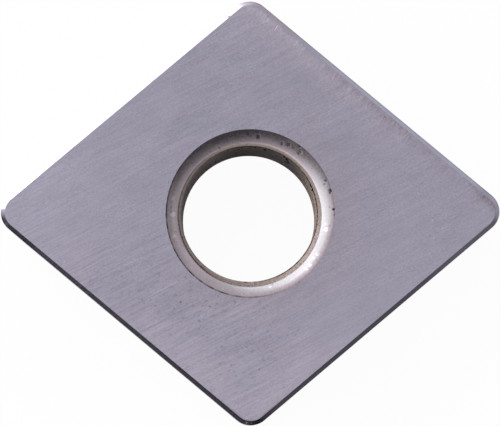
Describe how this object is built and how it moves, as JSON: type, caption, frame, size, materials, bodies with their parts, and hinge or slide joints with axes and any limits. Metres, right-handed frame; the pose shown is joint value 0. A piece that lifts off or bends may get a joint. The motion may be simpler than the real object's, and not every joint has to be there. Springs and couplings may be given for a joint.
{
  "type": "ceramic turning insert",
  "caption": "Flat rhombic ceramic cutting insert with rounded noses, a ground land round both faces and a flared bore through the middle.",
  "frame": {"origin": "on the bore's axis, in the plane of the lower face", "axes": "+X along the long diagonal, towards an 80 degree nose; +Y along the short diagonal; +Z along the bore, up from the lower face"},
  "size_m": [0.0188, 0.016, 0.0048],
  "materials": {
    "ceramic": "ground"
  },
  "bodies": {
    "root": {"insert": "ceramic"}
  },
  "joints": []
}
